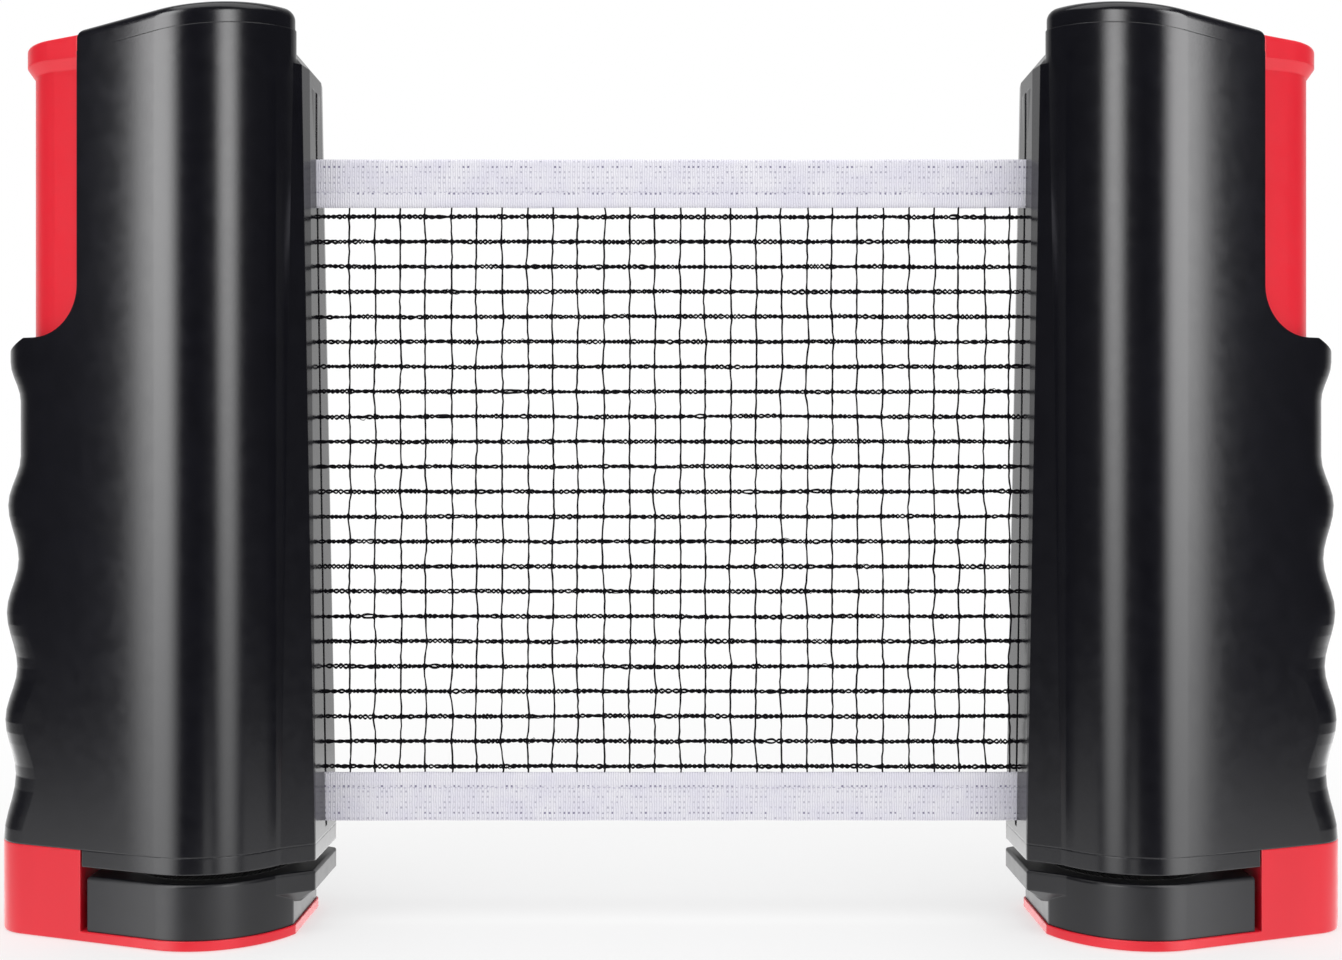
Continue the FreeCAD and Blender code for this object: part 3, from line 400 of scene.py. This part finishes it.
class Strands:
    """Many round cords gathered in one mesh. Each runs along one axis, with its rings across it."""

    def __init__(self, sides):
        self.sides = sides
        self.vertices = []
        self.faces = []
        self.count = 0

    def add(self, points, radii, axis, squeeze=1.0):
        """squeeze narrows the rings along the first of the two directions across the run."""
        points = np.asarray(points, float)
        radii = np.broadcast_to(np.asarray(radii, float), len(points))
        angles = np.arange(self.sides) * 2 * math.pi / self.sides
        across = {"x": (1, 2), "z": (0, 1)}[axis]
        rings = np.repeat(points[:, None, :], self.sides, axis=1)
        rings[:, :, across[0]] += squeeze * radii[:, None] * np.cos(angles)
        rings[:, :, across[1]] += radii[:, None] * np.sin(angles)
        self.vertices.append(rings.reshape(-1, 3))
        start, sides = self.count, self.sides
        for ring in range(len(points) - 1):
            low = start + ring * sides
            for k in range(sides):
                after = (k + 1) % sides
                self.faces.append((low + k, low + after, low + sides + after, low + sides + k))
        last = start + (len(points) - 1) * sides
        self.faces.append(tuple(range(start + sides - 1, start - 1, -1)))
        self.faces.append(tuple(range(last, last + sides)))
        self.count += len(points) * sides

    def build(self, name, finish):
        return add_mesh(name, np.concatenate(self.vertices).tolist(), self.faces, finish)


def sheet_faces(columns, rows):
    """Faces of a thin closed sheet: two grids of columns by rows points, joined at the edges."""
    faces = []
    back = columns * rows
    for i in range(columns - 1):
        for j in range(rows - 1):
            a = i * rows + j
            faces.append((a, a + rows, a + rows + 1, a + 1))
            faces.append((back + a, back + a + 1, back + a + rows + 1, back + a + rows))
        for j, flip in ((0, False), (rows - 1, True)):
            a = i * rows + j
            quad = (a, back + a, back + a + rows, a + rows)
            faces.append(quad[::-1] if flip else quad)
    for i, flip in ((0, False), (columns - 1, True)):
        for j in range(rows - 1):
            a = i * rows + j
            quad = (a, a + 1, back + a + 1, back + a)
            faces.append(quad[::-1] if flip else quad)
    return faces


def smooth_noise(count, step, size):
    """Seeded one-dimensional noise: random knots every few samples, eased between."""
    knots = rng.normal(0, size, count // step + 3)
    return np.interp(np.arange(count) / step, np.arange(len(knots)), knots)


def smoothstep(t):
    t = np.clip(t, 0, 1)
    return t * t * (3 - 2 * t)


# ---------------------------------------------------------------- the net

mesh_low, mesh_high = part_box("net_mesh")
tape_box = {"top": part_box("net_top_tape"), "bottom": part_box("net_bottom_tape")}
NET_END = mesh_high.x
CELL = 5.62 * MM
ROWS = 23
TOP_GAP, LOW_GAP = 1.9 * MM, 1.2 * MM
ROW_Z = np.linspace(mesh_low.z + LOW_GAP, mesh_high.z - TOP_GAP, ROWS)
CORD_RADIUS = 0.27 * MM
THREAD_RADIUS = 0.205 * MM
SLOT_MOUTH = 78.0 * MM  # from mid span to where the net enters a post
MOUTH_SHARE = 0.43  # sets how much of the pull the thread at the mouth takes: about two fifths
RIB = 0.53 * MM  # from one upright rib of the tapes to the next
GAP_PITCH, FIRST_GAP = 1.18 * MM, 1.7 * MM  # rows of small gaps, counted from the tape's free edge
TWIST = 2.5 * MM  # one turn of a row's two strands round each other
ROW_HEIGHT, ROW_DEPTH = 0.27 * MM, 0.21 * MM  # how far the strands swing from the row's middle
STRAY_RADIUS = 0.10 * MM
KNOT = ((-0.75, 0.95), (-0.4, 1.7), (0.0, 2.3), (0.4, 1.7), (0.75, 0.95))  # rise in mm, swelling
TAPES = {
    "top": tape_weave("top_tape_weave", tape_box["top"][1].z, -1),
    "bottom": tape_weave("bottom_tape_weave", tape_box["bottom"][0].z, 1),
}


def span_blend(piece):
    """The piece lies between the slots: its placement is baked into its mesh."""
    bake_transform(piece)


def make_rows():
    """Thick leno rows: two strands wrapped round each other with small eyes, and a stray fibre."""
    strands = Strands(6)
    step = 0.34 * MM
    x = np.arange(-NET_END + 0.1 * MM, NET_END - 0.1 * MM, step)
    for row in ROW_Z:
        sway = smooth_noise(len(x), 24, 0.07 * MM)
        turn = np.cumsum(1.0 + smooth_noise(len(x), 5, 0.35)) * step * 2 * math.pi / TWIST
        turn += rng.uniform(0, 2 * math.pi)
        swell = 1 + 0.35 * np.clip(smooth_noise(len(x), 6, 1.0), -1.2, 1.6)
        for phase in (0.0, math.pi):
            z = row + sway + ROW_HEIGHT * swell * np.cos(turn + phase)
            y = ROW_DEPTH * swell * np.sin(turn + phase)
            radii = CORD_RADIUS * (1 + 0.22 * np.clip(smooth_noise(len(x), 3, 0.8), -1, 1.4))
            strands.add(np.column_stack([x, y, z]), radii, "x")
        stray = 0.9 * turn + rng.uniform(0, 2 * math.pi) + smooth_noise(len(x), 9, 0.8)
        reach = 0.36 * MM * (1 + 0.4 * smooth_noise(len(x), 5, 0.8))
        z = row + sway + reach * np.sin(stray * 1.37)
        y = 0.30 * MM * np.cos(stray)
        strands.add(np.column_stack([x, y, z]), STRAY_RADIUS, "x")
    piece = strands.build("net_rows", CORD)
    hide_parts("net_mesh")
    span_blend(piece)


def upright_path(x):
    """One upright thread: taut between rows, hitching sideways and swelling into a knot at each."""
    levels, sides, radii = [mesh_low.z - 1.2 * MM], [0.0], [THREAD_RADIUS]
    hitch = rng.normal(0, 0.16 * MM, ROWS)
    hitch = np.clip(hitch, -0.4 * MM, 0.4 * MM)
    for row, (level, offset) in enumerate(zip(ROW_Z, hitch)):
        for rise, swell in KNOT:
            levels.append(level + rise * MM)
            sides.append(offset + 0.08 * MM * math.sin(5 * rise + row))
            radii.append(THREAD_RADIUS * swell * rng.uniform(0.85, 1.15))
        if row + 1 < ROWS:
            after = hitch[row + 1]
            for share in (0.35, 0.65):
                gap = ROW_Z[row + 1] - level
                levels.append(level + 0.75 * MM + share * (gap - 1.5 * MM))
                sides.append(offset + share * (after - offset) + rng.normal(0, 0.05 * MM))
                radii.append(THREAD_RADIUS * rng.uniform(0.75, 1.1))
    levels.append(mesh_high.z + 1.2 * MM)
    sides.append(0.0)
    radii.append(THREAD_RADIUS)
    depth = rng.normal(0, 0.05 * MM, len(levels))
    points = np.column_stack([x + np.array(sides), depth, np.array(levels)])
    return points, np.array(radii)


def make_uprights():
    """The upright threads between the posts, and the spare ones that wait inside each slot."""
    strands = Strands(6)
    count = int(SLOT_MOUTH // CELL)
    for column in range(-count, count + 1):
        x = (column + 0.35) * CELL + rng.normal(0, 0.12 * MM)
        points, radii = upright_path(x)
        strands.add(points, radii, "z")
    piece = strands.build("net_uprights", CORD)
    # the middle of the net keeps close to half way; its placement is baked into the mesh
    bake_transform(piece)
    for side, sign in SIDES.items():
        make_spare_uprights(side, sign)


def make_spare_uprights(side, sign):
    """Threads bunched in the slot at rest, packed so that drawn out by the full pull they would lie
    one cell apart.
    """
    inner, outer = SLOT_MOUTH + 1.0 * MM, NET_END
    width = (outer - inner) / MOUTH_SHARE
    place = np.linspace(outer, inner, 400)
    share = smoothstep((outer - place) / width)
    drawn = -place + share * PULL  # measured from mid span, for the left side
    spacing = np.arange(drawn[0] + CELL, drawn[-1], CELL)
    rest = np.interp(spacing, drawn, place)
    packing = np.abs(np.gradient(rest)) / CELL  # narrows a thread as the pull widens it
    strands = Strands(4)
    for index, (x, squeeze) in enumerate(zip(rest, packing)):
        points, radii = upright_path(0.0)
        points[:, 0] = sign * (x + squeeze * points[:, 0])
        points[:, 1] = ((index % 3) - 1) * 0.3 * MM
        strands.add(points, radii * 0.8, "z", squeeze)
    piece = strands.build(f"{side}_spare_uprights", CORD)
    if side == "left":
        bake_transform(piece)
    else:
        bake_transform(piece)


def make_tape(name, node, seam_share):
    """Woven edge tape as real cloth: ribbed faces, a rolled outer edge and a slight waver."""
    low, high = tape_box[name]
    columns = int((high.x - low.x) / RIB * 5)
    x = np.linspace(low.x, high.x, columns)
    profile = np.linspace(0, 1, 25)
    z = low.z + (high.z - low.z) * profile
    half = (high.y - low.y) / 2 - 0.08 * MM
    edge = np.minimum(profile, 1 - profile) * (high.z - low.z)
    fullness = np.sqrt(np.clip(edge / (0.5 * MM), 0, 1)) * 0.75 + 0.25
    pinch = 1 - 0.30 * np.exp(-(((profile - seam_share) * (high.z - low.z)) / (0.35 * MM)) ** 2)
    thick = half * fullness * pinch
    ribs = 0.045 * MM * np.cos(2 * math.pi * x / RIB + smooth_noise(columns, 40, 0.5))
    picks = np.cos(2 * math.pi * z / (0.62 * MM))
    waver_y = smooth_noise(columns, 90, 0.05 * MM)
    waver_z = smooth_noise(columns, 70, 0.05 * MM)
    vertices = []
    for sign in (-1, 1):
        weave = ribs[:, None] * (0.85 + 0.15 * picks[None, :])
        y = sign * (thick[None, :] + weave) + waver_y[:, None]
        grid_x = np.broadcast_to(x[:, None], y.shape)
        grid_z = np.broadcast_to(z[None, :], y.shape) + waver_z[:, None]
        vertices.append(np.stack([grid_x, y, grid_z], axis=-1).reshape(-1, 3))
    faces = sheet_faces(columns, len(z))
    piece = add_mesh(f"{name}_tape_cloth", np.concatenate(vertices).tolist(), faces, TAPES[name])
    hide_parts(node)
    span_blend(piece)
    make_stitches(name, low, high, seam_share, half)


def make_stitches(name, low, high, seam_share, half):
    """Lockstitches that hold the folded tape on the mesh, front and back."""
    strands = Strands(6)
    pitch, length = 1.13 * MM, 0.72 * MM
    count = int((high.x - low.x) / pitch) - 1
    level = low.z + (high.z - low.z) * seam_share
    for index in range(count):
        x = low.x + (index + 0.8) * pitch + rng.normal(0, 0.06 * MM)
        z = level + rng.normal(0, 0.07 * MM)
        share = np.linspace(-1, 1, 7)
        rise = rng.normal(0, 0.08 * MM)
        for sign in (-1, 1):
            arch = half * (0.70 + 0.22 * (1 - share**2)) * sign
            points = np.column_stack([x + share * length / 2, arch, z + rise * share])
            radii = 0.11 * MM * np.sqrt(np.clip(1.06 - share**2, 0.05, 1))
            strands.add(points, radii, "x")
    piece = strands.build(f"{name}_tape_stitches", STITCH)
    span_blend(piece)


# ---------------------------------------------------------------- inside the posts


def coil_points(centre, radius, low, high, turns, dead_turns, per_turn=28):
    """Centre line of a compression spring whose end coils lie flat."""
    total = turns + 2 * dead_turns
    t = np.linspace(0, total, int(total * per_turn))
    share = np.clip((t - dead_turns) / turns, 0, 1)
    end_pitch = 1.0 * MM
    z = low + np.minimum(t, dead_turns) * end_pitch
    z += share * (high - low - 2 * dead_turns * end_pitch)
    z += np.clip(t - dead_turns - turns, 0, dead_turns) * end_pitch
    angle = 2 * math.pi * t
    x = centre.x + radius * np.cos(angle)
    y = centre.y + radius * np.sin(angle)
    return np.column_stack([x, y, z])


def sweep_tube(name, points, radius, sides, finish):
    """A round wire along any smooth path."""
    forward = np.gradient(points, axis=0)
    forward /= np.linalg.norm(forward, axis=1, keepdims=True)
    up = np.array([0.0, 0.0, 1.0])
    across = np.cross(forward, up)
    across /= np.linalg.norm(across, axis=1, keepdims=True)
    over = np.cross(across, forward)
    angles = np.arange(sides) * 2 * math.pi / sides
    rings = (
        points[:, None, :]
        + radius * np.cos(angles)[None, :, None] * across[:, None, :]
        + radius * np.sin(angles)[None, :, None] * over[:, None, :]
    )
    faces = []
    for ring in range(len(points) - 1):
        for k in range(sides):
            after = (k + 1) % sides
            low, high = ring * sides, (ring + 1) * sides
            faces.append((low + k, low + after, high + after, high + k))
    faces.append(tuple(range(sides - 1, -1, -1)))
    last = (len(points) - 1) * sides
    faces.append(tuple(range(last, last + sides)))
    return add_mesh(name, rings.reshape(-1, 3).tolist(), faces, finish)


def make_clamp_spring(side):
    """The clamp spring as a wound coil at its rest length, carried by the post."""
    low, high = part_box(f"{side}_clamp_spring")
    wire = 0.5 * MM
    centre = (low + high) / 2
    radius = (high.y - low.y) / 2 - wire
    points = coil_points(centre, radius, low.z + wire, high.z - wire, 14, 1.5)
    piece = sweep_tube(f"{side}_clamp_spring_coil", points, wire, 10, SPRING)
    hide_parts(f"{side}_clamp_spring")
    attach(piece, f"{side}_post")
    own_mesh(piece)


def make_wound_net(side, sign):
    """The net wound on its roller: a spiral of mesh with the two white tapes at its ends."""
    low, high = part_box(f"{side}_net_roll")
    centre = (low + high) / 2
    outer = (high.x - low.x) / 2
    tube_low, tube_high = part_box(f"{side}_roller_tube")
    inner = (tube_high.x - tube_low.x) / 2 + 0.95 * MM
    turns = 9
    per_turn = 60
    pitch = (outer - 0.3 * MM - inner) / turns
    t = np.linspace(0, turns, turns * per_turn)
    radius = inner + pitch * t + 0.05 * MM * np.sin(7 * math.pi * t)
    angle = sign * 2 * math.pi * t
    thin = pitch * 0.42
    tape = tape_box["top"][1].z - tape_box["top"][0].z
    bands = (
        ("bottom_tape", low.z, low.z + tape, TAPES["bottom"], "tape_fabric"),
        ("mesh", low.z + tape, high.z - tape, CORD, "net_cord"),
        ("top_tape", high.z - tape, high.z, TAPES["top"], "tape_fabric"),
    )
    for label, z_low, z_high, finish, slot in bands:
        levels = np.linspace(z_low, z_high, max(3, int((z_high - z_low) / (2.0 * MM))))
        swell = np.cos(np.arange(len(levels)) * math.pi) * 0.05 * MM
        if slot == "tape_fabric":
            swell = np.zeros(len(levels))
        vertices = []
        for shift in (-thin, thin):
            r = radius[:, None] + shift + swell[None, :]
            x = centre.x + r * np.cos(angle)[:, None]
            y = centre.y + r * np.sin(angle)[:, None]
            z = np.broadcast_to(levels[None, :], r.shape)
            vertices.append(np.stack([x, y, z], axis=-1).reshape(-1, 3))
        faces = [face[::-1] for face in sheet_faces(len(t), len(levels))]
        piece = add_mesh(
            f"{side}_wound_{label}", np.concatenate(vertices).tolist(), faces, finish
        )
        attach(piece, f"{side}_roller")
    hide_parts(f"{side}_net_roll")


# ---------------------------------------------------------------- studio

axle_low, axle_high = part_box("right_axle")
POST_AXIS = (axle_low.x + axle_high.x) / 2
PANEL_LEVEL = 0.097  # near the middle of the posts' height; light panels are set out from it
FLOOR_DROP = 0.0003  # keeps the floor clear of the posts' feet
LIT = {side: bpy.data.collections.new(f"lit_{side}") for side in SIDES}

CAMERA_BACK = 0.321  # from the middle of the net
CAMERA_HEIGHT = 0.0973
SENSOR_WIDTH, LENS = 36.0, 38.9  # both in millimetres


def floor_paint():
    """Pale floor that brightens into the backdrop away from the object."""
    s = Shader("floor_paint")
    s.set(Base_Color=(0.9, 0.9, 0.9, 1), Roughness=0.9)
    glow = s.tree.nodes.new("ShaderNodeEmission")
    glow.inputs["Color"].default_value = (1, 1, 1, 1)
    glow.inputs["Strength"].default_value = 1.0
    length = s.tree.nodes.new("ShaderNodeVectorMath")
    length.operation = "LENGTH"
    s.link(s.place, length.inputs[0])
    fade = s.remap(length.outputs["Value"], 0.12, 0.42, 0.6, 1.0)
    blend = s.tree.nodes.new("ShaderNodeMixShader")
    s.link(fade, blend.inputs[0])
    s.link(s.surface.outputs["BSDF"], blend.inputs[1])
    s.link(glow.outputs[0], blend.inputs[2])
    s.link(blend.outputs[0], s.output.inputs["Surface"])
    return s.material


def make_floor():
    """Studio floor under the posts' feet, left out of reflections."""
    size = 30.0
    corners = [(-size, -size, 0), (size, -size, 0), (size, size, 0), (-size, size, 0)]
    floor = add_mesh("floor", corners, [(0, 1, 2, 3)], floor_paint(), smooth=False)
    floor.location.z = -FLOOR_DROP
    floor.visible_glossy = False


def make_world():
    """White to the camera; in reflections, a bright backdrop and pale table in a dim room."""
    world = bpy.data.worlds.new("studio")
    bpy.context.scene.world = world
    world.use_nodes = True
    tree = world.node_tree
    tree.nodes.clear()
    output = tree.nodes.new("ShaderNodeOutputWorld")
    path = tree.nodes.new("ShaderNodeLightPath")
    place = tree.nodes.new("ShaderNodeTexCoord")
    split = tree.nodes.new("ShaderNodeSeparateXYZ")
    tree.links.new(place.outputs["Generated"], split.inputs[0])

    def ramp(axis, low, high, to_low, to_high):
        node = tree.nodes.new("ShaderNodeMapRange")
        node.interpolation_type = "SMOOTHSTEP"
        tree.links.new(split.outputs[axis], node.inputs["Value"])
        limits = {"From Min": low, "From Max": high, "To Min": to_low, "To Max": to_high}
        for name, value in limits.items():
            node.inputs[name].default_value = value
        return node.outputs["Result"]

    backdrop = ramp("Y", 0.1, 0.75, 0.045, 0.8)
    table_top = ramp("Z", -0.15, -0.27, 0.0, 1.5)
    total = tree.nodes.new("ShaderNodeMath")
    tree.links.new(backdrop, total.inputs[0])
    tree.links.new(table_top, total.inputs[1])
    room = tree.nodes.new("ShaderNodeBackground")
    tree.links.new(total.outputs[0], room.inputs["Strength"])
    soft = tree.nodes.new("ShaderNodeBackground")
    soft.inputs["Strength"].default_value = 0.71
    white = tree.nodes.new("ShaderNodeBackground")
    white.inputs["Strength"].default_value = 1.0
    for node in (room, soft, white):
        node.inputs["Color"].default_value = (1, 1, 1, 1)
    glossy = tree.nodes.new("ShaderNodeMixShader")
    tree.links.new(path.outputs["Is Glossy Ray"], glossy.inputs[0])
    tree.links.new(soft.outputs[0], glossy.inputs[1])
    tree.links.new(room.outputs[0], glossy.inputs[2])
    camera = tree.nodes.new("ShaderNodeMixShader")
    tree.links.new(path.outputs["Is Camera Ray"], camera.inputs[0])
    tree.links.new(glossy.outputs[0], camera.inputs[1])
    tree.links.new(white.outputs[0], camera.inputs[2])
    tree.links.new(camera.outputs[0], output.inputs["Surface"])


def softbox_paint(name, sign, strength, edges, foot):
    """Light that fades at the panel's upright edges, outer then inner, and dims to its foot."""
    s = Shader(name)
    generated = s.tree.nodes.new("ShaderNodeTexCoord").outputs["Generated"]
    split = s.tree.nodes.new("ShaderNodeSeparateXYZ")
    s.link(generated, split.inputs[0])
    inward = split.outputs["X"] if sign < 0 else s.math("SUBTRACT", 1.0, split.outputs["X"])
    outer = s.remap(inward, 0.0, edges[0])
    inner = s.remap(inward, 1.0, 1.0 - edges[1])
    rise = s.remap(split.outputs["Z"], 0.05, 0.8, foot, 1.0)
    power = s.math("MULTIPLY", s.math("MULTIPLY", outer, inner), rise)
    glow = s.tree.nodes.new("ShaderNodeEmission")
    s.link(s.math("MULTIPLY", power, strength), glow.inputs["Strength"])
    s.link(glow.outputs[0], s.output.inputs["Surface"])
    return s.material


def make_softbox(name, side, sign, ends, heights, edges, strength, foot):
    """An upright panel that only one post sees, in reflections only.

    ends are its two ends in plan from the post's axis, as (away from the other post, towards the
    camera), and heights its foot and head above PANEL_LEVEL. Its light fades in over edges, as
    shares of its width, and dims to foot at the bottom.
    """
    middle = Vector((sign * POST_AXIS, 0, PANEL_LEVEL))
    start, end = (middle + Vector((sign * away, -forward, 0)) for away, forward in ends)
    low, high = (Vector((0, 0, height)) for height in heights)
    corners = [start + low, end + low, end + high, start + high]
    paint = softbox_paint(name + "_glow", sign, strength, edges, foot)
    panel = add_mesh(name, corners, [(0, 1, 2, 3)], paint, smooth=False)
    panel.visible_camera = False
    panel.visible_diffuse = False
    panel.visible_shadow = False
    panel.light_linking.receiver_collection = LIT[side]


def sort_lit():
    """Each post is lit by its own mirror-image set of panels, and the net by neither."""
    for name, node in frame["nodes"].items():
        for side in SIDES:
            if name.startswith(side):
                LIT[side].objects.link(node)


def make_lights():
    """Per post, a close strip for the barrel's outer band of light, a far panel for the inner."""
    for side, sign in SIDES.items():
        make_softbox(
            f"{side}_strip",
            side,
            sign,
            ends=((0.0625, 0.0496), (0.0236, 0.0785)),
            heights=(-0.13, 0.15),
            edges=(0.10, 0.50),
            strength=7.8,
            foot=0.42,
        )
        make_softbox(
            f"{side}_panel",
            side,
            sign,
            ends=((-0.19, 1.08), (-0.74, 0.80)),
            heights=(-0.40, 0.60),
            edges=(0.45, 0.45),
            strength=7.5,
            foot=0.34,
        )
    top = bpy.data.lights.new("overhead", "AREA")
    top.shape = "RECTANGLE"
    top.size, top.size_y = 1.6, 1.0
    top.energy = 9.0
    lamp = bpy.data.objects.new("overhead", top)
    lamp.location = (0, -0.25, 1.3)
    lamp.rotation_euler = (Vector((0, 0, 0.1)) - lamp.location).to_track_quat("-Z", "Y").to_euler()
    bpy.context.scene.collection.objects.link(lamp)


def make_camera():
    """Level camera on the net's middle line, close in, at the photograph's viewing angle."""
    data = bpy.data.cameras.new("camera")
    data.sensor_width = SENSOR_WIDTH
    data.lens = LENS
    data.clip_start = 0.01
    camera = bpy.data.objects.new("camera", data)
    camera.location = (0, -CAMERA_BACK, CAMERA_HEIGHT)
    camera.rotation_euler = (math.radians(90), 0, 0)
    bpy.context.scene.collection.objects.link(camera)
    bpy.context.scene.camera = camera


# ---------------------------------------------------------------- build

dress_cad_nodes()
make_rows()
make_uprights()
make_tape("top", "net_top_tape", 0.32)
make_tape("bottom", "net_bottom_tape", 0.68)
for side, sign in SIDES.items():
    make_clamp_spring(side)
    make_wound_net(side, sign)
sort_lit()
make_floor()
make_world()
make_lights()
make_camera()
bpy.context.scene.view_settings.view_transform = "Standard"
